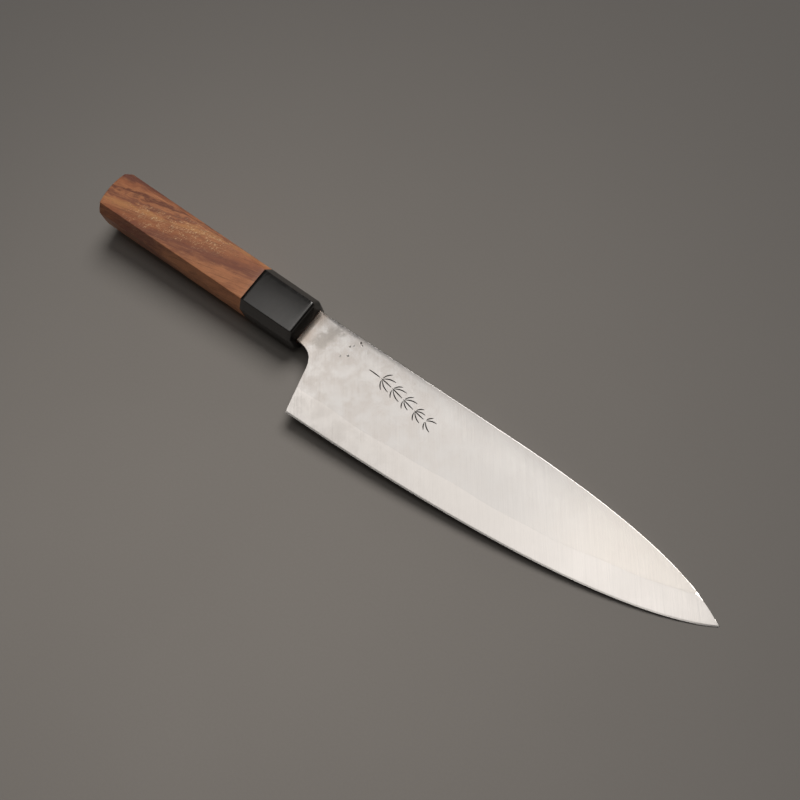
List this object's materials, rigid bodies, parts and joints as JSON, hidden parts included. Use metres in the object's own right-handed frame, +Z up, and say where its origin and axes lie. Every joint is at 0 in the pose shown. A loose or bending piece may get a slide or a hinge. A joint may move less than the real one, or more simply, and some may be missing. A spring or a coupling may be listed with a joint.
{
  "type": "chef knife",
  "caption": "Chef's knife with a laminated steel blade, a tapered octagonal wooden handle and a dark horn ferrule, lying on its side.",
  "frame": {"origin": "bottom centre of the bounding box of the knife lying on its side", "axes": "+X from the butt to the point of the blade, +Y from the cutting edge to the spine, +Z up from the surface it lies on"},
  "size_m": [0.3384, 0.0498, 0.0252],
  "materials": {
    "handle_wood": "oiled, fine open grain, satin",
    "dark_horn": "polished dark horn",
    "dowel_wood": "plain turned wood",
    "adhesive": "cast in place",
    "seal": "matt filler",
    "core_steel": "finely ground, brushed across the edge",
    "cladding_steel": "fine satin, ground"
  },
  "bodies": {
    "root": {"handle_body": "handle_wood", "horn_ferrule": "dark_horn", "handle_dowel": "dowel_wood", "tang_adhesive": "adhesive", "mouth_seal": "seal", "core_steel": "core_steel", "right_cladding": "cladding_steel", "left_cladding": "cladding_steel"}
  },
  "joints": []
}
